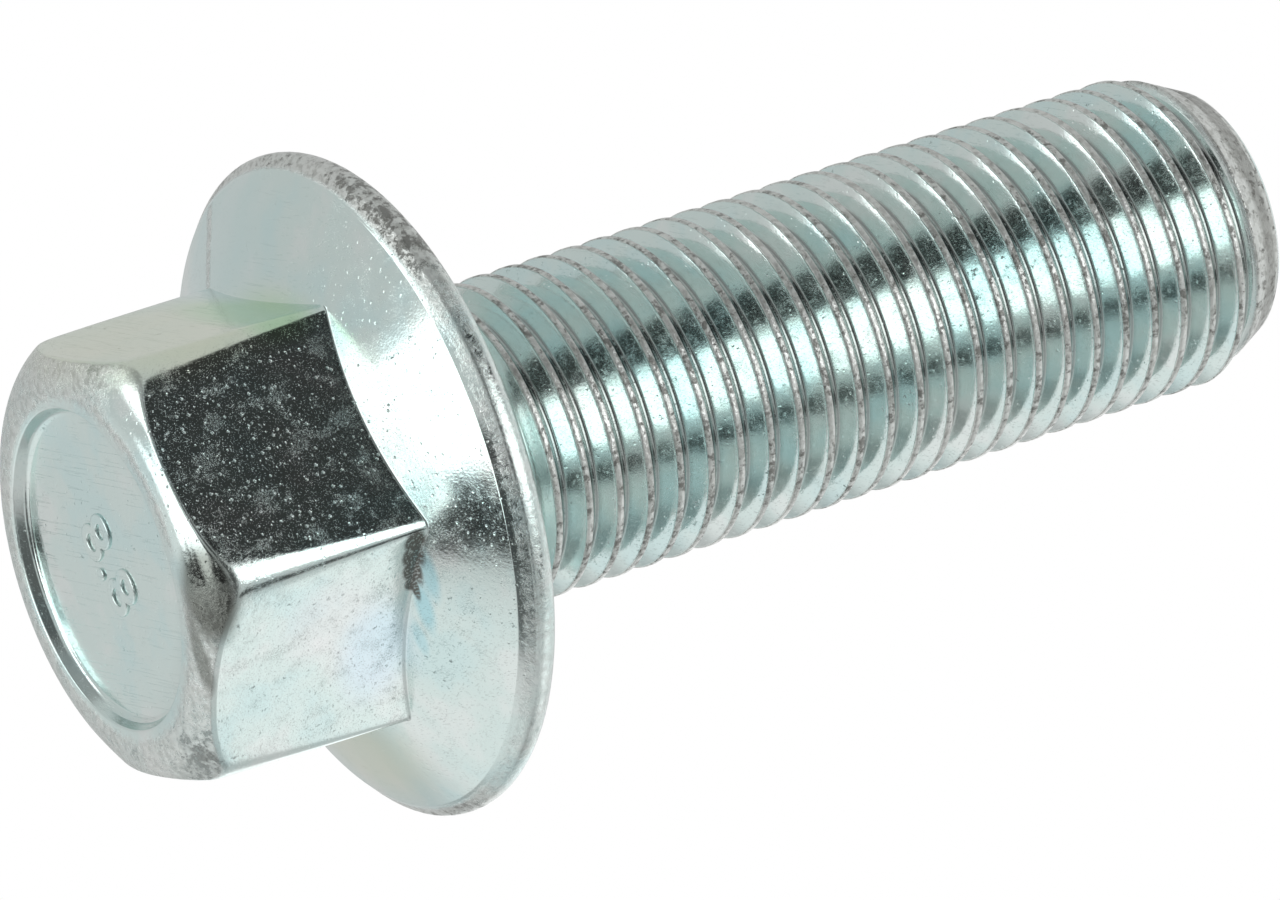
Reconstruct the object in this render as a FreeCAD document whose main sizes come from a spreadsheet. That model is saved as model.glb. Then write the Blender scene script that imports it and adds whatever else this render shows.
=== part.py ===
import FreeCAD, Part
import math
import os

import Sketcher

# Hexagon flange bolt, metric fine thread, standing on its head.
# The origin is the centre of the bearing face under the flange. The shank points up
# along +Z and the head hangs below, so the head's top face is the lowest face.
# Rounded edges are laid out as short flats along their arcs.

doc = FreeCAD.newDocument("flange_bolt")

# Driving sizes in millimetres and degrees
sizes = doc.addObject("Spreadsheet::Sheet", "sizes")
driving_sizes = [
    ("across_flats", 17.9),
    ("hex_corner_round", 2.2),
    ("head_height", 13.7),
    ("crown_flat_diameter", 15.2),
    ("crown_radius", 2.93),
    ("crown_sweep", 65.0),
    ("recess_diameter", 13.75),
    ("recess_depth", 0.6),
    ("recess_taper", 35.0),
    ("flange_diameter", 28.7),
    ("flange_edge_radius", 0.9),
    ("flange_slope", 26.7),
    ("shank_length", 42.0),
    ("neck_diameter", 12.95),
    ("neck_length", 3.8),
    ("neck_taper_length", 0.9),
    ("under_head_round", 0.8),
    ("thread_diameter", 13.85),
    ("thread_pitch", 1.5),
    ("crest_flat", 0.274),
    ("groove_depth", 0.5),
    ("thread_start", 3.66),
    ("runout_turns", 0.4),
    ("runout_growth", 1.3),
    ("point_diameter", 11.04),
    ("point_length", 2.85),
]
value = {}
for row, (name, number) in enumerate(driving_sizes, start=1):
    sizes.set("A%d" % row, name)
    sizes.set("B%d" % row, str(number))
    sizes.setAlias("B%d" % row, name)
    value[name] = number
doc.recompute()

body = doc.addObject("PartDesign::Body", "flange_bolt")
body.Label = "flange_bolt"
body.Placement = FreeCAD.Placement()


def new_sketch(name, plane_role):
    """A sketch on one of the body's origin planes."""
    sketch = body.newObject("Sketcher::SketchObject", name)
    plane = None
    for feature in body.Origin.OriginFeatures:
        if feature.Role == plane_role:
            plane = feature
    sketch.AttachmentSupport = [(plane, "")]
    sketch.MapMode = "FlatFace"
    return sketch


def bind(sketch, kind, places, number, expression):
    """Adds a dimension and ties it to the sheet."""
    index = sketch.addConstraint(Sketcher.Constraint(kind, *places, number))
    sketch.setExpression("Constraints[%d]" % index, expression)


def place_end(sketch, kind, axis, curve, number, expression):
    """Holds the start of a curve at a signed distance from the sketch's origin."""
    if abs(number) < 1e-9:
        sketch.addConstraint(Sketcher.Constraint("PointOnObject", curve, 1, axis))
    elif number > 0:
        bind(sketch, kind, (-1, 1, curve, 1), number, expression)
    else:
        bind(sketch, kind, (curve, 1, -1, 1), -number, "-(%s)" % expression)


def outline(sketch, corners):
    """A closed outline through corners, each with its number and expression in x and y."""
    count = len(corners)
    for index in range(count):
        start = corners[index]
        end = corners[(index + 1) % count]
        first = FreeCAD.Vector(start[0], start[2], 0)
        last = FreeCAD.Vector(end[0], end[2], 0)
        sketch.addGeometry(Part.LineSegment(first, last), False)
    for index in range(count):
        following = (index + 1) % count
        sketch.addConstraint(Sketcher.Constraint("Coincident", index, 2, following, 1))
    for index, (x_number, x_words, y_number, y_words) in enumerate(corners):
        place_end(sketch, "DistanceX", -2, index, x_number, x_words)
        place_end(sketch, "DistanceY", -1, index, y_number, y_words)


def arc_corners(centre, radius, start, end, flats):
    """Corners along an arc in a profile. Every argument but flats is (number, words)."""
    x, x_words, y, y_words = centre
    r, r_words = radius
    corners = []
    for index in range(flats + 1):
        share = index / flats
        angle = math.radians(start[0] + share * (end[0] - start[0]))
        words = "(%s + %.6f * ((%s) - (%s))) * 1 deg" % (start[1], share, end[1], start[1])
        corners.append((
            x + r * math.cos(angle),
            "%s + %s * cos(%s)" % (x_words, r_words, words),
            y + r * math.sin(angle),
            "%s + %s * sin(%s)" % (y_words, r_words, words),
        ))
    return corners


def turned(kind, name, sketch):
    """Turns a profile once around the bolt's axis."""
    feature = body.newObject("PartDesign::%s" % kind, name)
    feature.Profile = sketch
    feature.ReferenceAxis = (sketch, ["V_Axis"])
    feature.Angle = 360
    doc.recompute()
    return feature


# Hexagon of the head, from the bearing plane down to the head's top face
flat = value["across_flats"] / 2
corner = flat / math.cos(math.radians(30))
hexagon = new_sketch("hexagon_outline", "XY_Plane")
for index in range(6):
    start_angle = math.radians(60 * index)
    end_angle = math.radians(60 * (index + 1))
    first = FreeCAD.Vector(corner * math.cos(start_angle), corner * math.sin(start_angle), 0)
    last = FreeCAD.Vector(corner * math.cos(end_angle), corner * math.sin(end_angle), 0)
    hexagon.addGeometry(Part.LineSegment(first, last), False)
guide_circle = Part.Circle(FreeCAD.Vector(0, 0, 0), FreeCAD.Vector(0, 0, 1), corner)
guide = hexagon.addGeometry(guide_circle, True)
hexagon.addConstraint(Sketcher.Constraint("Coincident", guide, 3, -1, 1))
for index in range(6):
    hexagon.addConstraint(Sketcher.Constraint("Coincident", index, 2, (index + 1) % 6, 1))
    hexagon.addConstraint(Sketcher.Constraint("PointOnObject", index, 1, guide))
for index in range(1, 6):
    hexagon.addConstraint(Sketcher.Constraint("Equal", 0, index))
hexagon.addConstraint(Sketcher.Constraint("PointOnObject", 0, 1, -1))
bind(hexagon, "Radius", (guide,), corner, "sizes.across_flats / (2 * cos(30 deg))")

hex_pad = body.newObject("PartDesign::Pad", "hexagon")
hex_pad.Profile = hexagon
hex_pad.Reversed = True
hex_pad.setExpression("Length", "sizes.head_height")
doc.recompute()

# Soft corners that the forging die leaves on the hexagon
upright_edges = []
for number, edge in enumerate(hex_pad.Shape.Edges, start=1):
    box = edge.BoundBox
    if box.ZLength > flat and box.XLength + box.YLength < 0.01:
        upright_edges.append("Edge%d" % number)
hex_corners = body.newObject("PartDesign::Fillet", "hexagon_corners")
hex_corners.Base = (hex_pad, upright_edges)
hex_corners.setExpression("Radius", "sizes.hex_corner_round")
doc.recompute()

# Rounded crown that runs from the top face over the hexagon's corners
head_top = -value["head_height"]
crown_start = value["crown_flat_diameter"] / 2
crown = value["crown_radius"]
crown_start_words = "sizes.crown_flat_diameter / 2"
crown_centre = (
    crown_start,
    crown_start_words,
    head_top + crown,
    "sizes.crown_radius - sizes.head_height",
)
crown_corners = arc_corners(
    crown_centre,
    (crown, "sizes.crown_radius"),
    (-90, "-90"),
    (value["crown_sweep"] - 90, "sizes.crown_sweep - 90"),
    3,
)
outside = (crown_start + 3 * crown, "%s + 3 * sizes.crown_radius" % crown_start_words)
below = (head_top - crown, "-sizes.head_height - sizes.crown_radius")
crown_corners.append((*outside, *crown_corners[-1][2:]))
crown_corners.append((*outside, *below))
crown_corners.append((crown_start, crown_start_words, *below))
crown_profile = new_sketch("crown_profile", "XZ_Plane")
outline(crown_profile, crown_corners)
turned("Groove", "crown", crown_profile)

# Shallow round recess in the top face, with a sloping wall
recess_outline = new_sketch("recess_outline", "XY_Plane")
recess_outline.setExpression("AttachmentOffset.Base.z", "-sizes.head_height")
recess_radius = value["recess_diameter"] / 2
recess_circle = Part.Circle(FreeCAD.Vector(0, 0, 0), FreeCAD.Vector(0, 0, 1), recess_radius)
recess_ring = recess_outline.addGeometry(recess_circle, False)
recess_outline.addConstraint(Sketcher.Constraint("Coincident", recess_ring, 3, -1, 1))
bind(recess_outline, "Diameter", (recess_ring,), 2 * recess_radius, "sizes.recess_diameter")

recess = body.newObject("PartDesign::Pocket", "recess")
recess.Profile = recess_outline
recess.Reversed = True
recess.setExpression("Length", "sizes.recess_depth")
recess.setExpression("TaperAngle", "-sizes.recess_taper * 1 deg")
doc.recompute()

# Flange: flat bearing face, rounded rim and a cone that rises to the hexagon
rim = value["flange_edge_radius"]
slope = value["flange_slope"]
rim_centre = (
    value["flange_diameter"] / 2 - rim,
    "sizes.flange_diameter / 2 - sizes.flange_edge_radius",
    -rim,
    "-sizes.flange_edge_radius",
)
flange_corners = [(0, "0", 0, "0")]
flange_corners += arc_corners(
    rim_centre,
    (rim, "sizes.flange_edge_radius"),
    (90, "90"),
    (slope - 90, "sizes.flange_slope - 90"),
    4,
)
cone_x, cone_x_words, cone_y, cone_y_words = flange_corners[-1]
cone_top_x = 0.35 * value["across_flats"]
cone_top_y = cone_y - (cone_x - cone_top_x) * math.tan(math.radians(slope))
cone_top_words = (
    "%s - (%s - 0.35 * sizes.across_flats) * tan(sizes.flange_slope * 1 deg)"
    % (cone_y_words, cone_x_words)
)
flange_corners.append((cone_top_x, "0.35 * sizes.across_flats", cone_top_y, cone_top_words))
flange_corners.append((0, "0", cone_top_y, cone_top_words))
flange_profile = new_sketch("flange_profile", "XZ_Plane")
outline(flange_profile, flange_corners)
turned("Revolution", "flange", flange_profile)

# Shank: fillet under the head, plain neck, taper to the thread's full size, soft point
neck = (value["neck_diameter"] / 2, "sizes.neck_diameter / 2")
crest = (value["thread_diameter"] / 2, "sizes.thread_diameter / 2")
point = (value["point_diameter"] / 2, "sizes.point_diameter / 2")
fillet = (value["under_head_round"], "sizes.under_head_round")
neck_end = (value["neck_length"], "sizes.neck_length")
taper_end = (
    value["neck_length"] + value["neck_taper_length"],
    "sizes.neck_length + sizes.neck_taper_length",
)
shank_end = (value["shank_length"], "sizes.shank_length")
point_start = (
    value["shank_length"] - value["point_length"],
    "sizes.shank_length - sizes.point_length",
)
buried = (-value["under_head_round"], "-sizes.under_head_round")
fillet_centre = (
    neck[0] + fillet[0],
    "%s + %s" % (neck[1], fillet[1]),
    fillet[0],
    fillet[1],
)
shank_corners = arc_corners(fillet_centre, fillet, (270, "270"), (180, "180"), 2)
shank_corners += [
    (*neck, *neck_end),
    (*crest, *taper_end),
    (*crest, *point_start),
    (*point, *shank_end),
    (0, "0", *shank_end),
    (0, "0", *buried),
    (*fillet_centre[:2], *buried),
]
shank_profile = new_sketch("shank_profile", "XZ_Plane")
outline(shank_profile, shank_corners)
turned("Revolution", "shank", shank_profile)

# Section of the thread groove: a plain V as wide as the real one between its crests,
# a little taller than the crest so that it cuts clean
groove_half = (value["thread_pitch"] - value["crest_flat"]) / 2
groove_half_words = "(sizes.thread_pitch - sizes.crest_flat) / 2"
spill = 0.3 * value["crest_flat"] / groove_half
spill_words = "0.3 * sizes.crest_flat / (%s)" % groove_half_words
mouth_x = (
    crest[0] + spill * value["groove_depth"],
    "%s + %s * sizes.groove_depth" % (crest[1], spill_words),
)
mouth_half = groove_half * (1 + spill)
mouth_half_words = "%s * (1 + %s)" % (groove_half_words, spill_words)
groove_level = (value["thread_start"], "sizes.thread_start")
groove_corners = [
    (crest[0] - value["groove_depth"], "%s - sizes.groove_depth" % crest[1], *groove_level),
    (*mouth_x, groove_level[0] - mouth_half, "sizes.thread_start - %s" % mouth_half_words),
    (*mouth_x, groove_level[0] + mouth_half, "sizes.thread_start + %s" % mouth_half_words),
]
groove_section = new_sketch("groove_section", "XZ_Plane")
outline(groove_section, groove_corners)

# Right-hand thread, from the neck up over the point
thread = body.newObject("PartDesign::SubtractiveHelix", "thread")
thread.Profile = groove_section
thread.ReferenceAxis = (groove_section, ["V_Axis"])
thread.Mode = "pitch-height-angle"
thread.setExpression("Pitch", "sizes.thread_pitch")
thread.setExpression("Height", "sizes.shank_length - sizes.thread_start + sizes.thread_pitch")
doc.recompute()

# Run-out: the groove rises out of the neck in less than half a turn
runout = body.newObject("PartDesign::SubtractiveHelix", "thread_runout")
runout.Profile = groove_section
runout.ReferenceAxis = (groove_section, ["V_Axis"])
runout.Mode = "height-turns-growth"
runout.Reversed = True
runout.setExpression("Height", "sizes.thread_pitch * sizes.runout_turns")
runout.setExpression("Turns", "sizes.runout_turns")
runout.setExpression("Growth", "sizes.runout_growth")
doc.recompute()
body.Tip = runout
doc.recompute()

# Every step is checked before the file is written
faults = []
for item in doc.Objects:
    if "Invalid" in item.State or "Error" in item.State:
        faults.append("%s is in the state %s" % (item.Name, item.State))
adding = ("hexagon", "flange", "shank")
last_volume = 0
for item in body.Group:
    if not item.isDerivedFrom("PartDesign::Feature"):
        continue
    if item.Shape.isNull() or not item.Shape.isValid():
        faults.append("%s has no valid shape" % item.Name)
        continue
    grows = item.Shape.Volume > last_volume
    if grows != (item.Name in adding):
        faults.append("%s changes the volume the wrong way" % item.Name)
    last_volume = item.Shape.Volume
if len(body.Shape.Solids) != 1:
    faults.append("the bolt is not one solid")
if faults:
    raise RuntimeError("; ".join(faults))

os.makedirs("parts", exist_ok=True)
body.Shape.exportStep("parts/%s.step" % body.Label)
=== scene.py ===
import math

import bmesh
import bpy
from mathutils import Matrix, Vector


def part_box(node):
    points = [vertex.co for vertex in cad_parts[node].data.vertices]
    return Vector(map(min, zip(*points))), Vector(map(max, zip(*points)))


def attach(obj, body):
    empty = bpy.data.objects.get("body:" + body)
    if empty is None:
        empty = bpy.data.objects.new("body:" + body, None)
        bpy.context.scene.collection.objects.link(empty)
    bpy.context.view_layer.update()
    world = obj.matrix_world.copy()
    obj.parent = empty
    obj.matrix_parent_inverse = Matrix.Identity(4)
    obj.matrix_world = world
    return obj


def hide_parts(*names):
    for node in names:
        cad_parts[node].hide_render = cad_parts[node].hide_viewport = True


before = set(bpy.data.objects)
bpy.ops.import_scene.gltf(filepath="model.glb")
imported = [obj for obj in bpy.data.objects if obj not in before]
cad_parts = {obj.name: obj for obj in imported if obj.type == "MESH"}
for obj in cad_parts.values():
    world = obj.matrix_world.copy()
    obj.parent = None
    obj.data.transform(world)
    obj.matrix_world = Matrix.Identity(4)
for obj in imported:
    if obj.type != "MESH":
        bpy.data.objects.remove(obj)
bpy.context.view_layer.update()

# Hexagon flange bolt, zinc plated, standing on its head with the shank along +Z.
# Lengths are in millimetres up to the point where a mesh is finished in metres.

MM = 0.001
NODE = "flange_bolt"

# Outer sizes, taken from the frame
lowest, highest = (Vector(corner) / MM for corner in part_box(NODE))
HEAD_TOP = lowest.z
POINT_END = highest.z

# Head: the corner rounds grow from the flange to the top by a power of the height
HALF_FLATS = 8.95
CORNER_ROUND_AT_FLANGE = 0.3
CORNER_ROUND_AT_TOP = 2.3
CORNER_ROUND_POWER = 1.6
CROWN_START = 7.6
CROWN_RADIUS = 2.93
CROWN_BLEND = 0.16
CROWN_TRIM = 0.36
CROWN_TRIM_FADE = (0.1, -0.45)

# Recess in the top of the head
RECESS_RADIUS = 6.875
RECESS_DEPTH = 0.6
RECESS_SLOPE = math.radians(20)
RECESS_FLOOR_ROUND = 0.34
RECESS_LIP_ROUND = 0.1

# Flange
FLANGE_RADIUS = 14.35
RIM_ROUND = 0.9
RIM_BEND_RADIUS = 13.72
RIM_BEND_ROUND = 0.22
SHOULDER_TILT = math.radians(78)
SHOULDER_REACH = 0.12
FLANGE_SLOPE = math.radians(26.7)
FLANGE_BLEND = 0.06

# Neck
NECK_RADIUS = 6.475
UNDER_HEAD_ROUND = 0.8
NECK_SEAM = 2.9

# Thread: a 60 degree form with flat crests and rounded roots
PITCH = 1.5
CREST_RADIUS = 6.925
ROOT_RADIUS = 6.08
HALF_CREST = 0.137
CREST_BLEND = 0.06
ROOT_BLEND = 0.08
FLANK_RISE = 1 / math.tan(math.radians(30))
THREAD_START = 3.66
RUNOUT = (3.0, 4.1)

# Point: a soft cone that the thread fades on, and an end face that is a little hollow
POINT_START = 39.15
POINT_RADIUS = 5.52
POINT_SEAM = 41.75
POINT_ROUND = 0.25
POINT_BLEND = 0.05
POINT_HOLLOW = 0.12

# Raised numbers in the recess
MARK_TEXT = "8.8"
MARK_HEIGHT = 3.6
MARK_RISE = 0.04
MARK_BEVEL = 0.06
MARK_TURN = math.radians(60)

# Fineness of the mesh: steps around, how far they crowd at the corners, where the rings of the
# head's side and the points of the thread's section lie, and the bands left open at the seams
AROUND = 180
CORNER_CROWDING = 0.72
RINGS_NEAR_EDGE = [0.01, 0.025, 0.045, 0.07, 0.11]
RINGS_BETWEEN = [0.16 + 0.68 * index / 9 for index in range(10)]
SECTION_STEPS = [0.11, 0.15, 0.2, 0.26, 0.52, 0.58, 0.66]
SEAM_BAND = 0.1
CLOSE = 0.001

SIXTH = math.pi / 3
FULL_TURN = 2 * math.pi


def soft_min(a, b, blend):
    """The smaller of two values, rounded where they meet."""
    overlap = max(blend - abs(a - b), 0) / blend
    return min(a, b) - overlap * overlap * blend / 4


def soft_max(a, b, blend):
    """The larger of two values, rounded where they meet."""
    return -soft_min(-a, -b, blend)


def ramp(start, full, x):
    """0 at the start, 1 where it is full, smooth between them, in either direction."""
    share = min(max((x - start) / (full - start), 0), 1)
    return share * share * (3 - 2 * share)


def arc(centre, radius, start, end, steps):
    """Points (r, z) along an arc, angles in degrees."""
    points = []
    for index in range(steps + 1):
        angle = math.radians(start + (end - start) * index / steps)
        points.append((centre[0] + radius * math.cos(angle), centre[1] + radius * math.sin(angle)))
    return points


def run(start, end, steps):
    """Points (r, z) along a straight line, without its ends."""
    points = []
    for index in range(1, steps):
        share = index / steps
        points.append((
            start[0] + (end[0] - start[0]) * share,
            start[1] + (end[1] - start[1]) * share,
        ))
    return points


def turn_outline(start, radius, tilt_from, tilt_to, steps):
    """Arc (r, z) that starts at a point and turns a surface from one lean to another."""
    centre = (start[0] - radius * math.sin(tilt_from), start[1] + radius * math.cos(tilt_from))
    return arc(centre, radius, math.degrees(tilt_from) - 90, math.degrees(tilt_to) - 90, steps)


def hexagon_radius(azimuth, z):
    """Distance from the axis to the hexagon, whose first corner is on +X."""
    share = max(z / HEAD_TOP, 0) ** CORNER_ROUND_POWER
    corner_round = CORNER_ROUND_AT_FLANGE + (CORNER_ROUND_AT_TOP - CORNER_ROUND_AT_FLANGE) * share
    from_corner = abs((azimuth + SIXTH / 2) % SIXTH - SIXTH / 2)
    centre = (HALF_FLATS - corner_round) / math.cos(SIXTH / 2)
    reach = centre + corner_round * math.cos(SIXTH / 2)
    round_end = math.atan2(corner_round * math.sin(SIXTH / 2), reach)
    if from_corner > round_end:
        return HALF_FLATS / math.cos(SIXTH / 2 - from_corner)
    across = centre * math.sin(from_corner)
    return centre * math.cos(from_corner) + math.sqrt(corner_round ** 2 - across ** 2)


def crown_start(azimuth):
    """Where the crown begins: further in on the -X side, which the forging filled less."""
    return CROWN_START - CROWN_TRIM * ramp(*CROWN_TRIM_FADE, math.cos(azimuth))


def crown_radius_at(azimuth, z):
    """Radius of the crown's arc at a height, out to its widest."""
    below = min(z - (HEAD_TOP + CROWN_RADIUS), 0)
    return crown_start(azimuth) + math.sqrt(max(CROWN_RADIUS ** 2 - below ** 2, 0))


RIM_CENTRE = (FLANGE_RADIUS - RIM_ROUND, -RIM_ROUND)


def on_rim(tilt):
    """Point (r, z) of the rim's round where the surface leans by that angle."""
    return Vector((
        RIM_CENTRE[0] + RIM_ROUND * math.sin(tilt),
        RIM_CENTRE[1] - RIM_ROUND * math.cos(tilt),
    ))


def along(tilt):
    """Direction (r, z) outwards along a surface that leans by that angle."""
    return Vector((math.cos(tilt), math.sin(tilt)))


# The cone ends at a bend, and a bevel leads from there to the shoulder of the rim
CONE_END = on_rim(FLANGE_SLOPE)
BEND = CONE_END - along(FLANGE_SLOPE) * (CONE_END.x - RIM_BEND_RADIUS) / math.cos(FLANGE_SLOPE)
SHOULDER = on_rim(SHOULDER_TILT) - along(SHOULDER_TILT) * SHOULDER_REACH
BEVEL_TILT = math.atan2(SHOULDER.y - BEND.y, SHOULDER.x - BEND.x)
BEND_REACH = RIM_BEND_ROUND * math.tan((BEVEL_TILT - FLANGE_SLOPE) / 2)
CONE_EDGE = tuple(BEND - along(FLANGE_SLOPE) * BEND_REACH)


def cone_radius_at(z):
    """Radius of the flange's cone at a height."""
    return CONE_EDGE[0] + (z - CONE_EDGE[1]) / math.tan(FLANGE_SLOPE)


def head_radius(azimuth, z):
    """Outside of the head between its top face and the flange's rim."""
    side = soft_min(hexagon_radius(azimuth, z), crown_radius_at(azimuth, z), CROWN_BLEND)
    return soft_max(side, cone_radius_at(z), FLANGE_BLEND)


def crown_edge(azimuth):
    """Height where the crown meets the side of the hexagon."""
    z = HEAD_TOP
    for _ in range(3):
        reach = hexagon_radius(azimuth, z) - crown_start(azimuth)
        z = HEAD_TOP + CROWN_RADIUS - math.sqrt(CROWN_RADIUS ** 2 - reach ** 2)
    return z


def cone_foot(azimuth):
    """Height where the flange's cone meets the side of the hexagon."""
    z = CONE_EDGE[1]
    for _ in range(3):
        reach = CONE_EDGE[0] - hexagon_radius(azimuth, z)
        z = CONE_EDGE[1] - reach * math.tan(FLANGE_SLOPE)
    return z


def side_height(azimuth, station):
    """Height of a ring: stations 0 to 1 cross the crown, 1 to 2 the hexagon, 2 to 3 the cone."""
    top = crown_edge(azimuth)
    foot = cone_foot(azimuth)
    if station <= 1:
        lean = math.acos((HEAD_TOP + CROWN_RADIUS - top) / CROWN_RADIUS) * station
        return HEAD_TOP + CROWN_RADIUS - CROWN_RADIUS * math.cos(lean)
    if station <= 2:
        return top + (foot - top) * (station - 1)
    return foot + (CONE_EDGE[1] - foot) * (station - 2)


def side_stations():
    """Rings of the head's side, close together where two surfaces meet."""
    stations = [0]
    for base in range(3):
        stations += [base + share for share in RINGS_NEAR_EDGE + RINGS_BETWEEN]
        stations += [base + 1 - share for share in reversed(RINGS_NEAR_EDGE)]
        stations.append(base + 1)
    return stations


def recess_profile():
    """Half section of the recess from its middle to the crown."""
    floor = HEAD_TOP + RECESS_DEPTH
    lean = math.degrees(RECESS_SLOPE)
    lip_centre = (RECESS_RADIUS + RECESS_LIP_ROUND, HEAD_TOP + RECESS_LIP_ROUND)
    lip = arc(lip_centre, RECESS_LIP_ROUND, 180 + lean, 270, 5)
    foot_rise = RECESS_FLOOR_ROUND * (1 - math.sin(RECESS_SLOPE))
    wall_run = (floor - foot_rise - lip[0][1]) * math.tan(RECESS_SLOPE)
    foot_centre = (
        lip[0][0] - wall_run - RECESS_FLOOR_ROUND * math.cos(RECESS_SLOPE),
        floor - RECESS_FLOOR_ROUND,
    )
    foot = arc(foot_centre, RECESS_FLOOR_ROUND, 90, lean, 6)
    return [(0, floor)] + run((0, floor), foot[0], 6) + foot + lip


def flange_profile():
    """Half section of the rim, the bearing face and the neck."""
    bend = turn_outline(CONE_EDGE, RIM_BEND_ROUND, FLANGE_SLOPE, BEVEL_TILT, 4)
    bevel_end = SHOULDER - along(BEVEL_TILT) * SHOULDER_REACH
    shoulder_round = SHOULDER_REACH / math.tan((SHOULDER_TILT - BEVEL_TILT) / 2)
    shoulder = turn_outline(bevel_end, shoulder_round, BEVEL_TILT, SHOULDER_TILT, 5)
    outer = arc(RIM_CENTRE, RIM_ROUND, math.degrees(SHOULDER_TILT) - 90, 90, 10)
    rim = bend + run(bend[-1], shoulder[0], 4) + shoulder + outer[1:]
    fillet_centre = (NECK_RADIUS + UNDER_HEAD_ROUND, UNDER_HEAD_ROUND)
    fillet = arc(fillet_centre, UNDER_HEAD_ROUND, 270, 180, 6)
    neck_end = (NECK_RADIUS, NECK_SEAM)
    bearing = run(rim[-1], fillet[0], 5)
    return rim[1:] + bearing + fillet + run(fillet[-1], neck_end, 3) + [neck_end]


def point_radius_at(z):
    """Radius of the soft point's cone at a height."""
    share = (z - POINT_START) / (POINT_END - POINT_START)
    return CREST_RADIUS + (POINT_RADIUS - CREST_RADIUS) * share


def point_profile():
    """Half section of the point's end from the thread's last ring to the middle."""
    seam = (point_radius_at(POINT_SEAM), POINT_SEAM)
    edge = (POINT_RADIUS - POINT_ROUND, POINT_END - POINT_ROUND)
    corner = arc(edge, POINT_ROUND, 20, 90, 4)
    middle = (0, POINT_END - POINT_HOLLOW)
    return [seam] + corner + run(corner[-1], middle, 8) + [middle]


def thread_radius(across):
    """Radius of the thread at a distance along the axis from a crest's middle."""
    flank = CREST_RADIUS - (abs(across) - HALF_CREST) * FLANK_RISE
    return soft_max(soft_min(flank, CREST_RADIUS, CREST_BLEND), ROOT_RADIUS, ROOT_BLEND)


def thread_section():
    """One thread from groove to groove, as (radius, distance from its start)."""
    steps = SECTION_STEPS + [PITCH / 2]
    across = [-step for step in reversed(steps)] + steps
    return [(thread_radius(x), x + PITCH / 2) for x in across]


def wire(bm, points):
    """A chain of edges through (r, z) points in the plane of +X."""
    verts = [bm.verts.new((r, 0, z)) for r, z in points]
    edges = [bm.edges.new(pair) for pair in zip(verts, verts[1:])]
    return verts + edges


def lathe(bm, points):
    """Spins an outline once around the bolt's axis."""
    bmesh.ops.spin(
        bm, geom=wire(bm, points), cent=(0, 0, 0), axis=(0, 0, 1),
        angle=FULL_TURN, steps=AROUND, use_merge=True,
    )


def everything(bm):
    """All that a bmesh holds."""
    return bm.verts[:] + bm.edges[:] + bm.faces[:]


def forge_head(bm):
    """Head, flange and neck: a lathed blank whose side rings are drawn in to the hexagon."""
    side = [(CROWN_START + station, HEAD_TOP + station) for station in side_stations()]
    lathe(bm, recess_profile() + side + flange_profile())
    for vert in bm.verts:
        radius = math.hypot(vert.co.x, vert.co.y)
        azimuth = math.atan2(vert.co.y, vert.co.x)
        azimuth -= CORNER_CROWDING * math.sin(6 * azimuth) / 6
        station = radius - CROWN_START
        height = vert.co.z
        if -CLOSE < station < 3 + CLOSE and abs(height - HEAD_TOP - station) < CLOSE:
            height = side_height(azimuth, station)
            radius = head_radius(azimuth, height)
        vert.co = (radius * math.cos(azimuth), radius * math.sin(azimuth), height)


def wind_thread():
    """The thread by itself: one section wound up the shank, faded at the neck and the point."""
    bm = bmesh.new()
    base = THREAD_START - 2 * PITCH
    turns = math.ceil((POINT_SEAM - base) / PITCH)
    points = [(r, base + z) for r, z in thread_section()]
    bmesh.ops.spin(
        bm, geom=wire(bm, points), cent=(0, 0, 0), axis=(0, 0, 1),
        dvec=(0, 0, PITCH / AROUND), angle=FULL_TURN, steps=AROUND,
    )
    first_turn = everything(bm)
    for index in range(1, turns):
        copy = bmesh.ops.duplicate(bm, geom=first_turn)["geom"]
        raised = [part for part in copy if isinstance(part, bmesh.types.BMVert)]
        bmesh.ops.translate(bm, vec=(0, 0, PITCH * index), verts=raised)
    bmesh.ops.remove_doubles(bm, verts=bm.verts, dist=CLOSE)
    for vert in bm.verts:
        radius = math.hypot(vert.co.x, vert.co.y)
        depth = ramp(*RUNOUT, vert.co.z)
        wanted = NECK_RADIUS + (radius - NECK_RADIUS) * depth
        wanted = soft_min(wanted, point_radius_at(vert.co.z), POINT_BLEND)
        vert.co.x *= wanted / radius
        vert.co.y *= wanted / radius
    ends = ((NECK_SEAM + SEAM_BAND, True, False), (POINT_SEAM - SEAM_BAND, False, True))
    for height, below, over in ends:
        bmesh.ops.bisect_plane(
            bm, geom=everything(bm), dist=0.1 * CLOSE,
            plane_co=(0, 0, height), plane_no=(0, 0, 1),
            clear_inner=below, clear_outer=over,
        )
    return bm


def take_in(bm, other):
    """Moves all of another bmesh into this one."""
    mesh = bpy.data.meshes.new("moved")
    other.to_mesh(mesh)
    other.free()
    bm.from_mesh(mesh)
    bpy.data.meshes.remove(mesh)


def join_seams(bm):
    """Closes the narrow bands between the neck, the thread and the point."""
    for height in (NECK_SEAM, POINT_SEAM):
        rims = [
            edge for edge in bm.edges
            if edge.is_boundary and abs(edge.verts[0].co.z - height) < 2 * SEAM_BAND
        ]
        bmesh.ops.bridge_loops(bm, edges=rims)


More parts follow.
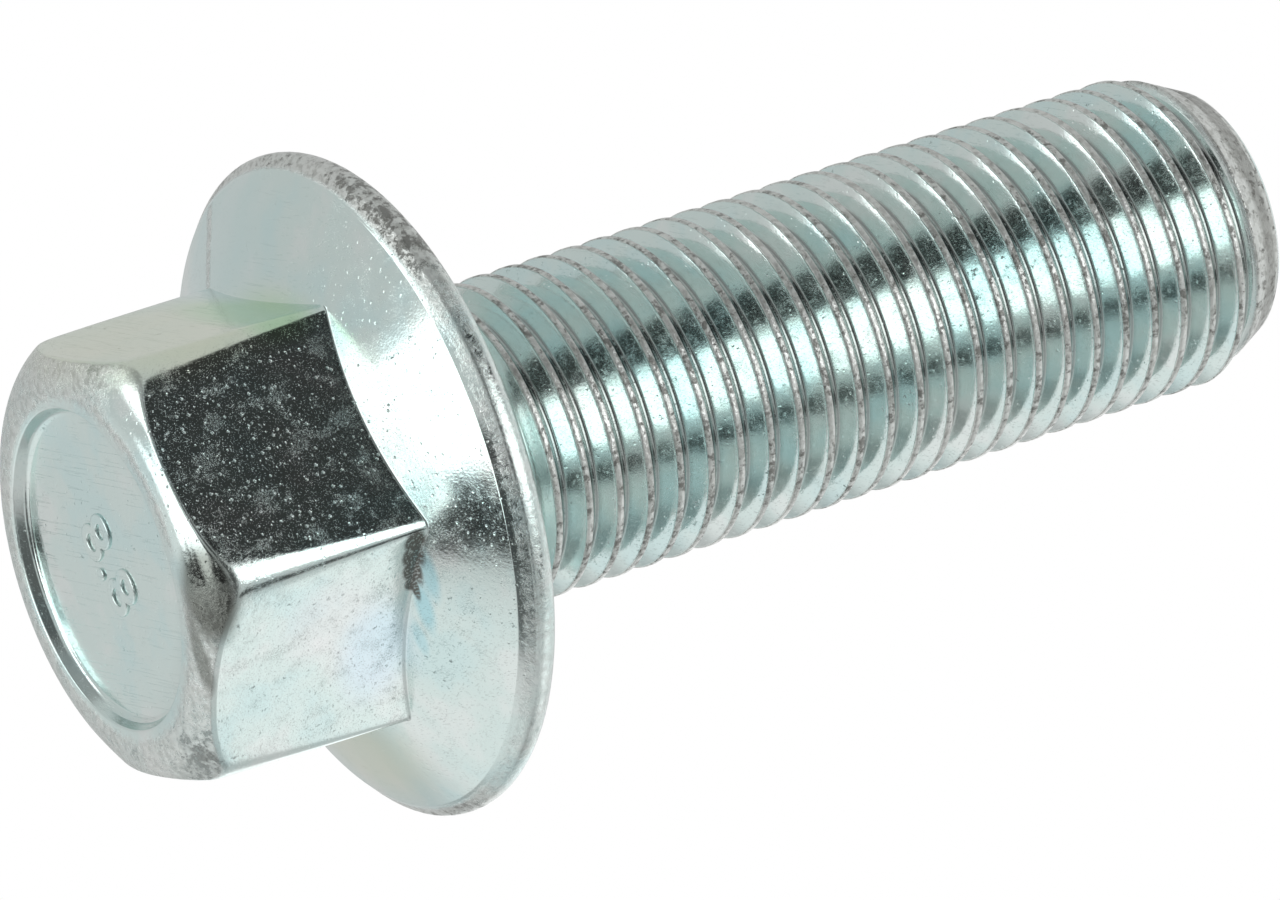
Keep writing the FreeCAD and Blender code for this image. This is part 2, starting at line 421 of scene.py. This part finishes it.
# How matt the plating is in each zone, and where a zone starts and is full:
# distances from the axis, heights, and angles round the axis in radians
CROWN_MATT = 0.7
CROWN_MATT_RADIUS = (6.9, 7.1)
CROWN_MATT_MARGIN = (-0.15, 0.1)
BRIGHT_PATCH = 0.8
BRIGHT_MIDDLE = -0.55
BRIGHT_REACH = (0.7, 0.4)
BRIGHT_INNER = 7.0
BRIGHT_INNER_SHIFT = 0.6
BRIGHT_INNER_TURN = (0, -0.4)
BRIGHT_FADE = 0.6
CORNER_MATT = 0.3
CORNER_MATT_RADIUS = (9.3, 9.7)
CORNER_MATT_HEIGHT = (-7, -12)
RIM_MATT = 0.9
RIM_MATT_RADIUS = (12.7, 13.1)
RIM_MATT_HEIGHT = (-1.76, -1.55)
RIM_MATT_END = 0.1
RIM_BRIGHTER = 0.5
RIM_BRIGHTER_SIDES = ((-0.95, -0.5), (1.3, 0.9))
NECK_MATT = 0.3
CREST_MATT_DEPTH = (-0.09, -0.015)
POINT_MATT_HEIGHT = (-0.1, 0.4)
POINT_MATT_DEPTH = (-0.1, -0.03)
# Painted shade at the bottom of the thread's groove: height above the root where it starts and where it is
# full
ROOT_SHADE_DEPTH = (0.1, 0.02)


def head_matt(radius, azimuth, z):
    """Matt share of the crown, with its bright patch, and of the corners' ends."""
    hexagon = hexagon_radius(azimuth, z)
    crown = ramp(*CROWN_MATT_RADIUS, radius)
    crown *= ramp(*CROWN_MATT_MARGIN, hexagon - crown_radius_at(azimuth, z))
    inner = BRIGHT_INNER + BRIGHT_INNER_SHIFT * ramp(*BRIGHT_INNER_TURN, azimuth)
    bright = ramp(*BRIGHT_REACH, abs(azimuth - BRIGHT_MIDDLE)) * ramp(inner, inner + BRIGHT_FADE, radius)
    corner = ramp(*CORNER_MATT_RADIUS, min(radius, hexagon)) * ramp(*CORNER_MATT_HEIGHT, z)
    return max(CROWN_MATT * crown * (1 - BRIGHT_PATCH * bright), CORNER_MATT * corner)


def rim_matt(radius, azimuth, z):
    """Matt share of the flange's rim, which is brighter on one side."""
    first, last = RIM_BRIGHTER_SIDES
    brighter = RIM_BRIGHTER * ramp(*first, azimuth) * ramp(*last, azimuth)
    return (RIM_MATT - brighter) * ramp(*RIM_MATT_HEIGHT, z) * ramp(*RIM_MATT_RADIUS, radius)


def thread_matt(radius, z):
    """Matt share of the crests and of the point's cone."""
    crest = ramp(*CREST_MATT_DEPTH, radius - CREST_RADIUS)
    point = ramp(*POINT_MATT_HEIGHT, z - POINT_START) * ramp(*POINT_MATT_DEPTH, radius - point_radius_at(z))
    return max(crest, point)


def matt_share(x, y, z):
    """How matt and pitted the plating is at a point of the bolt."""
    radius = math.hypot(x, y)
    azimuth = math.atan2(y, x)
    if z < CONE_EDGE[1]:
        return head_matt(radius, azimuth, z)
    if z < RIM_MATT_END:
        return rim_matt(radius, azimuth, z)
    if z < RUNOUT[0]:
        return NECK_MATT
    return thread_matt(radius, z)


def root_share(x, y, z):
    """1 at the bottom of the thread's groove, where shade is painted, 0 elsewhere."""
    in_thread = RUNOUT[0] < z < POINT_SEAM - 2 * SEAM_BAND
    return ramp(*ROOT_SHADE_DEPTH, math.hypot(x, y) - ROOT_RADIUS) if in_thread else 0


def show(name, data):
    """An object of that name at the origin."""
    thing = bpy.data.objects.new(name, data)
    bpy.context.scene.collection.objects.link(thing)
    return thing


def make_bolt():
    """The whole bolt as one closed smooth skin that carries its matt and root shares."""
    bm = bmesh.new()
    forge_head(bm)
    lathe(bm, point_profile())
    bmesh.ops.remove_doubles(bm, verts=bm.verts, dist=0.5 * CLOSE)
    take_in(bm, wind_thread())
    join_seams(bm)
    matt = bm.verts.layers.float.new("matt")
    root = bm.verts.layers.float.new("root")
    for vert in bm.verts:
        vert[matt] = matt_share(*vert.co)
        vert[root] = root_share(*vert.co)
    bmesh.ops.recalc_face_normals(bm, faces=bm.faces)
    bmesh.ops.scale(bm, vec=(MM, MM, MM), verts=bm.verts)
    for face in bm.faces:
        face.smooth = True
    mesh = bpy.data.meshes.new("plated_bolt")
    bm.to_mesh(mesh)
    bm.free()
    return show("plated_bolt", mesh)


def make_strength_mark():
    """Plain raised numbers on the floor of the recess, read from below the head."""
    curve = bpy.data.curves.new("strength_mark", "FONT")
    curve.body = MARK_TEXT
    curve.align_x = "CENTER"
    curve.align_y = "CENTER"
    curve.size = MARK_HEIGHT * MM
    curve.extrude = MARK_RISE * MM
    curve.bevel_depth = MARK_BEVEL * MM
    curve.bevel_resolution = 2
    text = show("strength_mark_text", curve)
    bpy.context.view_layer.update()
    mesh = bpy.data.meshes.new_from_object(text.evaluated_get(bpy.context.evaluated_depsgraph_get()))
    mesh.name = "strength_mark"
    bpy.data.objects.remove(text)
    floor = Matrix.Translation((0, 0, (HEAD_TOP + RECESS_DEPTH) * MM))
    mesh.transform(floor @ Matrix.Rotation(MARK_TURN, 4, "Z") @ Matrix.Rotation(math.pi, 4, "X"))
    bm = bmesh.new()
    bm.from_mesh(mesh)
    bmesh.ops.remove_doubles(bm, verts=bm.verts, dist=CLOSE * MM)
    bmesh.ops.recalc_face_normals(bm, faces=bm.faces)
    bm.to_mesh(mesh)
    bm.free()
    return show("strength_mark", mesh)


def empty_tree(owner):
    """The node tree of a new material or world, with nothing in it."""
    owner.use_nodes = True
    owner.node_tree.nodes.clear()
    return owner.node_tree


def feed(tree, socket, value):
    """Sets a socket to a number or a colour, or links another node's output to it."""
    if isinstance(value, bpy.types.NodeSocket):
        tree.links.new(value, socket)
    else:
        socket.default_value = value


def add(tree, kind, inputs=None, **settings):
    """Adds a node with its settings and inputs."""
    node = tree.nodes.new("ShaderNode" + kind)
    for name, value in settings.items():
        setattr(node, name, value)
    for name, value in (inputs or {}).items():
        feed(tree, node.inputs[name], value)
    return node


def calc(tree, operation, *values):
    """The result of a Math node."""
    inputs = dict(enumerate(values))
    return add(tree, "Math", inputs, operation=operation).outputs[0]


def spread(tree, value, low, high, to_low=0.0, to_high=1.0):
    """Maps a value smoothly from one range to another."""
    inputs = {"Value": value, "From Min": low, "From Max": high, "To Min": to_low, "To Max": to_high}
    return add(tree, "MapRange", inputs, interpolation_type="SMOOTHSTEP").outputs["Result"]


def blend(tree, share, first, second):
    """Mixes two colours."""
    node = add(tree, "Mix", data_type="RGBA")
    feed(tree, node.inputs["Factor"], share)
    feed(tree, node.inputs[6], first)
    feed(tree, node.inputs[7], second)
    return node.outputs[2]


def noise(tree, coords, grain, detail=3.0, roughness=0.5):
    """Noise whose lumps are about one grain, in millimetres, across."""
    inputs = {"Vector": coords, "Scale": 1 / (grain * MM), "Detail": detail, "Roughness": roughness}
    return add(tree, "TexNoise", inputs).outputs["Fac"]


def above(tree, value, level, softness):
    """A mask that is 1 where a value is above a level."""
    return spread(tree, value, level - softness, level + softness)


def spot(tree, coords, centre, size, edge=0.5):
    """A soft oval mask round a point of the bolt, in millimetres."""
    offset = add(tree, "VectorMath", {0: coords, 1: [c * MM for c in centre]}, operation="SUBTRACT")
    inputs = {0: offset.outputs["Vector"], 1: [s * MM for s in size]}
    scaled = add(tree, "VectorMath", inputs, operation="DIVIDE")
    distance = add(tree, "VectorMath", {0: scaled.outputs["Vector"]}, operation="LENGTH")
    return spread(tree, distance.outputs["Value"], 1 - edge, 1 + edge, 1.0, 0.0)


def spots(tree, coords, places, edge=0.5):
    """One mask over several spots, each a centre and half sizes."""
    mask = 0.0
    for centre, size in places:
        mask = calc(tree, "MAXIMUM", mask, spot(tree, coords, centre, size, edge))
    return mask


def scratches(tree, coords, turn, length, width, level):
    """Fine scratches that run one way, from noise drawn out along its own X."""
    scale = [1 / (length * MM), 1 / (width * MM), 1 / (width * MM)]
    inputs = {"Vector": coords, "Rotation": [math.radians(angle) for angle in turn], "Scale": scale}
    drawn = add(tree, "Mapping", inputs).outputs["Vector"]
    value = add(tree, "TexNoise", {"Vector": drawn, "Scale": 1.0, "Detail": 1.0}).outputs["Fac"]
    return above(tree, value, level, 0.02)


def dimples(tree, coords, gap, size, share):
    """Tiny scattered dimples: their mean gap, half size and how many of the places have one."""
    cells = add(tree, "TexVoronoi", {"Vector": coords, "Scale": 1 / (gap * MM)})
    inside = spread(tree, cells.outputs["Distance"], 0.3 * size / gap, size / gap, 1.0, 0.0)
    chance = add(tree, "SeparateColor", {0: cells.outputs["Color"]}).outputs[0]
    return calc(tree, "MULTIPLY", inside, above(tree, chance, 1 - share, 0.02))


# Colours of the zinc: the clear plate in its tints, the matt zones, stain and pits; the pits' dark colour
# also paints shade in the thread's grooves and a dark reflection at the foot of one face
PLATE = (0.69, 0.80, 0.775, 1)
PLATE_CYAN = (0.64, 0.79, 0.78, 1)
PLATE_PALE = (0.755, 0.82, 0.80, 1)
PLATE_GREEN = (0.50, 0.74, 0.50, 1)
PLATE_OLIVE = (0.74, 0.79, 0.62, 1)
PLATE_PINK = (0.84, 0.78, 0.80, 1)
PLATE_BLUE = (0.66, 0.80, 0.90, 1)
PLATE_SKY = (0.42, 0.70, 0.76, 1)
MATT_DARK = (0.47, 0.475, 0.45, 1)
MATT_LIGHT = (0.69, 0.705, 0.68, 1)
PIT_AND_PAINTED_SHADE = (0.13, 0.128, 0.115, 1)
SMOKY = (0.16, 0.17, 0.15, 1)

# Where the passivation shows another tint: centre, half sizes, share, colour
TINTS = [
    ((0.8, -8.95, -9.5), (7, 1.3, 5), 0.75, PLATE_OLIVE),
    ((2.6, -8.95, -5.6), (5.0, 1.0, 1.5), 0.85, PLATE_GREEN),
    ((8.6, 2.9, -7.9), (1.8, 1.8, 2.2), 0.35, PLATE_PINK),
    ((7.4, 5.0, -5.6), (1.6, 3.0, 1.6), 0.6, PLATE_BLUE),
    ((9.75, 2.2, -3.65), (0.4, 1.1, 0.35), 0.75, PLATE_SKY),
    ((9.05, 3.6, -3.8), (0.45, 1.3, 0.3), 0.8, PLATE_SKY),
    ((8.2, 5.0, -3.85), (0.3, 1.0, 0.25), 0.5, PLATE_SKY),
    ((-4.7, -10.0, -3.1), (5, 5, 2), 0.7, PLATE_CYAN),
    ((-1.6, 10.9, -3.1), (5, 3, 1.5), 0.6, PLATE_OLIVE),
]

# Smoky stain on the crown at one corner: centre, half sizes, share
SMOKED = [
    ((8.8, 0.2, -13.1), (1.5, 2.1, 1.0), 0.88),
    ((7.7, 2.6, -13.45), (0.5, 2.0, 0.34), 0.7),
]

# Painted dark reflection along the foot of one face: centre and half sizes
PAINTED_DARK_REFLECTION = [
    ((10.0, 0.55, -4.1), (0.42, 0.6, 0.5)),
    ((9.65, 1.2, -4.15), (0.38, 0.8, 0.5)),
    ((9.3, 1.9, -4.15), (0.32, 0.9, 0.42)),
    ((8.95, 2.6, -4.1), (0.2, 0.8, 0.34)),
]

# Fine pecks in the plate of one face: centre and half sizes
PECKED = ((7.75, -4.5, -8.5), (3.2, 4.6, 5.6))

# Where the pits crowd: centre and half sizes
PITTED = [
    ((6.7, -12.4, -0.9), (4.5, 4.5, 1.5)),
    ((8.9, 0.3, -12.9), (1.4, 1.8, 1.2)),
    ((3.5, 8.2, -12.8), (4.5, 2.0, 1.4)),
    ((13.6, 4.5, -1.0), (2.5, 3.0, 1.2)),
]

# Scratches: turn in degrees, length, width, and the level of the noise that they start at
FINE_SCRATCHES = ((20, 10, 30), 1.1, 0.05, 0.63)
CROSSING_SCRATCHES = ((70, 60, -20), 1.6, 0.05, 0.65)
UPRIGHT_SCRATCHES = ((8, 84, 0), 3.4, 0.055, 0.68)
# Streaks across the painted dark reflection at the foot of one face
REFLECTION_STREAKS = ((0, 90, 0), 1.5, 0.09, 0.43)

# Dimples: mean gap, half size, share of the places that have one
SPARKS = (0.3, 0.08, 0.42)
SPECKS = (0.19, 0.045, 0.2)

# Height of the surface's relief that one unit of the height stands for
RELIEF = 0.02


def plate_tint(tree, coords, clouds):
    """Colour of the clear plate: soft clouds from cyan to pale, with spots of other tints."""
    tint = blend(tree, spread(tree, clouds, 0.36, 0.52), PLATE_CYAN, PLATE)
    tint = blend(tree, spread(tree, clouds, 0.52, 0.68), tint, PLATE_PALE)
    for centre, size, share, colour in TINTS:
        mask = calc(tree, "MULTIPLY", spot(tree, coords, centre, size), share)
        tint = blend(tree, mask, tint, colour)
    return tint


def worn_mask(tree, matt, peck):
    """Where the plate is matt, with a ragged edge."""
    ragged = calc(tree, "MULTIPLY_ADD", calc(tree, "SUBTRACT", peck, 0.5), 1.8, matt)
    return calc(tree, "MULTIPLY", spread(tree, ragged, 0.2, 0.8), spread(tree, matt, 0.0, 1.0))


def pit_mask(tree, coords, clouds, peck, worn):
    """Dark pits, more of them in the matt zones and where they crowd."""
    clump = calc(tree, "MULTIPLY_ADD", calc(tree, "SUBTRACT", clouds, 0.5), 0.3, peck)
    clump = calc(tree, "MULTIPLY_ADD", spots(tree, coords, PITTED), -0.055, clump)
    level = calc(tree, "MULTIPLY_ADD", worn, 0.135, 0.295)
    return calc(tree, "SUBTRACT", 1.0, above(tree, calc(tree, "SUBTRACT", clump, level), 0.0, 0.05))


def scratch_mask(tree, coords, veins):
    """Fine scratches in patches, and long upright ones everywhere."""
    fine = scratches(tree, coords, *FINE_SCRATCHES)
    crossing = scratches(tree, coords, *CROSSING_SCRATCHES)
    patches = spread(tree, veins, 0.52, 0.72)
    scored = calc(tree, "MULTIPLY", calc(tree, "MAXIMUM", fine, crossing), patches)
    return calc(tree, "MAXIMUM", scored, scratches(tree, coords, *UPRIGHT_SCRATCHES))


def dark_reflection_mask(tree, coords):
    """Painted dark reflection at the foot of one face, with streaks across it."""
    streaks = spread(tree, scratches(tree, coords, *REFLECTION_STREAKS), 0.0, 1.0, 0.6, 1.0)
    return calc(tree, "MULTIPLY", spots(tree, coords, PAINTED_DARK_REFLECTION, 0.25), streaks)


def zinc_plate():
    """Bright blue-clear zinc, with matt grey pitted zones, painted shade in the thread's grooves and a
    painted dark reflection on one face.
    """
    material = bpy.data.materials.new("zinc_plate")
    tree = empty_tree(material)
    coords = add(tree, "TexCoord").outputs["Object"]
    matt = add(tree, "Attribute", attribute_name="matt").outputs["Fac"]
    root = add(tree, "Attribute", attribute_name="root").outputs["Fac"]

    clouds = noise(tree, coords, 3.5)
    veins = noise(tree, coords, 1.0, detail=5.0, roughness=0.6)
    peck = noise(tree, coords, 0.42, detail=6.0, roughness=0.72)
    sand = noise(tree, coords, 0.34, detail=3.0, roughness=0.6)
    grain = noise(tree, coords, 0.11, detail=2.0)

    worn = worn_mask(tree, matt, peck)
    pits = pit_mask(tree, coords, clouds, peck, worn)
    scored = scratch_mask(tree, coords, veins)
    # Painted dark reflection at the foot of one face
    dark_reflection = dark_reflection_mask(tree, coords)
    pecked = spread(tree, spot(tree, coords, *PECKED, edge=0.15), 0.0, 1.0, 0.12, 1.0)
    specks = calc(tree, "MULTIPLY", dimples(tree, coords, *SPECKS), pecked)
    sparks = calc(tree, "MULTIPLY", dimples(tree, coords, *SPARKS), pecked)
    sparks = calc(tree, "MULTIPLY", sparks, spread(tree, sand, 0.42, 0.52))

    matt_colour = blend(tree, spread(tree, sand, 0.36, 0.56), MATT_DARK, MATT_LIGHT)
    tint = plate_tint(tree, coords, clouds)
    colour = blend(tree, calc(tree, "MULTIPLY", worn, 0.85), tint, matt_colour)
    for centre, size, share in SMOKED:
        smoke = calc(tree, "MULTIPLY", spot(tree, coords, centre, size, edge=0.3), share)
        colour = blend(tree, smoke, colour, SMOKY)
    # Darkens the pits, and paints shade into the bottom of the thread's groove and a dark reflection at the
    # foot of one face
    pit_shade = calc(tree, "MULTIPLY", pits, spread(tree, worn, 0, 1, 0.4, 0.75))
    root_painted_shade = calc(tree, "MULTIPLY", root, 0.5)
    dark_reflection_shade = calc(tree, "MULTIPLY", dark_reflection, 0.95)
    for shade in (pit_shade, root_painted_shade, dark_reflection_shade):
        colour = blend(tree, shade, colour, PIT_AND_PAINTED_SHADE)

    rough = spread(tree, veins, 0.3, 0.75, 0.11, 0.17)
    for mask, rougher in ((scored, 0.1), (sparks, 0.12), (worn, 0.2)):
        rough = calc(tree, "MULTIPLY_ADD", mask, rougher, rough)

    height = calc(tree, "MULTIPLY", grain, calc(tree, "MULTIPLY_ADD", worn, 0.7, 0.11))
    height = calc(tree, "MULTIPLY_ADD", sand, calc(tree, "MULTIPLY_ADD", worn, 2.0, 0.16), height)
    for mask, depth in ((pits, 0.8), (sparks, 3.2), (specks, 0.6), (scored, 0.3)):
        height = calc(tree, "MULTIPLY_ADD", mask, -depth, height)
    bump = add(tree, "Bump", {"Height": height, "Strength": 1.0, "Distance": RELIEF * MM})
    shader = add(tree, "BsdfPrincipled", {
        "Base Color": colour, "Roughness": rough, "Metallic": 1.0, "Normal": bump.outputs["Normal"],
    })
    output = add(tree, "OutputMaterial")
    tree.links.new(shader.outputs["BSDF"], output.inputs["Surface"])
    return material


# Floor: half its width in metres, and its colour
FLOOR_HALF = 3.0
FLOOR_COLOUR = (0.9, 0.9, 0.9, 1)


def make_floor():
    """Pale floor under the head that only shows from above."""
    bm = bmesh.new()
    bmesh.ops.create_grid(bm, x_segments=1, y_segments=1, size=FLOOR_HALF)
    bmesh.ops.translate(bm, vec=(0, 0, HEAD_TOP * MM), verts=bm.verts)
    mesh = bpy.data.meshes.new("floor")
    bm.to_mesh(mesh)
    bm.free()
    floor = show("floor", mesh)
    material = bpy.data.materials.new("pale_floor")
    tree = empty_tree(material)
    diffuse = add(tree, "BsdfDiffuse", {"Color": FLOOR_COLOUR}).outputs[0]
    clear = add(tree, "BsdfTransparent").outputs[0]
    back = add(tree, "NewGeometry").outputs["Backfacing"]
    mix = add(tree, "MixShader", {0: back, 1: diffuse, 2: clear})
    output = add(tree, "OutputMaterial")
    tree.links.new(mix.outputs[0], output.inputs["Surface"])
    mesh.materials.append(material)
    floor.visible_glossy = False
    floor.visible_diffuse = False
    floor.visible_shadow = False


# Soft panels and dark flags, a later one over an earlier one:
# azimuth, elevation, half width and half height in degrees, level, edge softness
BASE_LEVEL = 0.62
PANELS = [
    (-88, -22, 22, 22, 0.35, 0.3),
    (-12, -20, 54, 17, 0.12, 0.25),
    (-50, 30, 16, 34, 0.035, 0.14),
    (-9, 32, 21, 22, 2.3, 0.12),
    (36, 28, 7, 24, 0.08, 0.3),
    (75, 40, 21, 17, 1.08, 0.15),
    (95, 8, 16, 12, 0.35, 0.35),
    (128, -8, 16, 9, 0.45, 0.3),
    (140, 26, 14, 16, 1.3, 0.35),
    (160, 75, 30, 25, 0.95, 0.4),
    (132, -42, 30, 24, 0.92, 0.35),
    (152, -61, 8.5, 13, 0.08, 0.15),
    (45, -50, 22, 12, 0.12, 0.25),
    (20, -69, 17, 14, 0.06, 0.15),
    (-93, -65, 8, 13, 2.2, 0.15),
    (-114, -52, 13, 11, 1.9, 0.2),
    (178, -60, 8, 9, 1.9, 0.15),
    (-162, -84.5, 14, 20, 2.2, 0.08),
    (128, -75.5, 8, 6, 0.02, 0.15),
]


def towards(azimuth, elevation):
    """Unit vector in that direction, angles in degrees."""
    a = math.radians(azimuth)
    e = math.radians(elevation)
    return Vector((math.cos(e) * math.cos(a), math.cos(e) * math.sin(a), math.sin(e)))


def panel_share(tree, direction, middle, half_width, half_height, edge):
    """How much of a panel is seen in a direction."""
    side = Vector((0, 0, 1)).cross(middle).normalized()
    up = middle.cross(side)
    squares = []
    for axis, half in ((side, half_width), (up, half_height)):
        dot = add(tree, "VectorMath", {0: direction, 1: axis}, operation="DOT_PRODUCT")
        part = calc(tree, "DIVIDE", dot.outputs["Value"], math.sin(math.radians(half)))
        squares.append(calc(tree, "MULTIPLY", part, part))
    distance = calc(tree, "SQRT", calc(tree, "ADD", *squares))
    inside = calc(tree, "SUBTRACT", 1.0, spread(tree, distance, 1 - edge, 1 + edge))
    facing = add(tree, "VectorMath", {0: direction, 1: middle}, operation="DOT_PRODUCT")
    front = calc(tree, "GREATER_THAN", facing.outputs["Value"], 0.0)
    return calc(tree, "MULTIPLY", inside, front)


def make_studio():
    """World: white to the camera, soft panels and dark flags to everything else."""
    world = bpy.data.worlds.new("studio")
    bpy.context.scene.world = world
    tree = empty_tree(world)
    direction = add(tree, "TexCoord").outputs["Generated"]
    level = add(tree, "Value").outputs[0]
    level.default_value = BASE_LEVEL
    for azimuth, elevation, half_width, half_height, strength, edge in PANELS:
        middle = towards(azimuth, elevation)
        share = panel_share(tree, direction, middle, half_width, half_height, edge)
        gap = calc(tree, "SUBTRACT", strength, level)
        level = calc(tree, "MULTIPLY_ADD", gap, share, level)
    seen = add(tree, "LightPath").outputs["Is Camera Ray"]
    unseen = calc(tree, "SUBTRACT", 1.0, seen)
    level = calc(tree, "ADD", calc(tree, "MULTIPLY", unseen, level), seen)
    background = add(tree, "Background", {"Color": (1, 1, 1, 1), "Strength": level})
    output = add(tree, "OutputWorld")
    tree.links.new(background.outputs[0], output.inputs["Surface"])


# Camera: place and aim in millimetres, lens and sensor width of a long lens
CAMERA_PLACE = (411.09, -97.81, -207.69)
CAMERA_AIM = (0.51, 2.10, 12.02)
CAMERA_ROLL = math.radians(72.145)
CAMERA_LENS = 317.4
CAMERA_SENSOR = 36


def make_camera():
    """Camera on the head's side, below the level of the floor, rolled to point the shank up right."""
    data = bpy.data.cameras.new("camera")
    data.sensor_width = CAMERA_SENSOR
    data.lens = CAMERA_LENS
    data.clip_start = 0.01
    place = Vector(CAMERA_PLACE) * MM
    aim = Vector(CAMERA_AIM) * MM
    turn = (aim - place).to_track_quat("-Z", "Y").to_matrix().to_4x4()
    camera = show("camera", data)
    camera.matrix_world = Matrix.Translation(place) @ turn @ Matrix.Rotation(CAMERA_ROLL, 4, "Z")
    bpy.context.scene.camera = camera


plate = zinc_plate()
for piece in (make_bolt(), make_strength_mark()):
    piece.data.materials.append(plate)
    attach(piece, "root")
    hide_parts(NODE)
make_floor()
make_studio()
make_camera()
bpy.context.scene.view_settings.view_transform = "Standard"
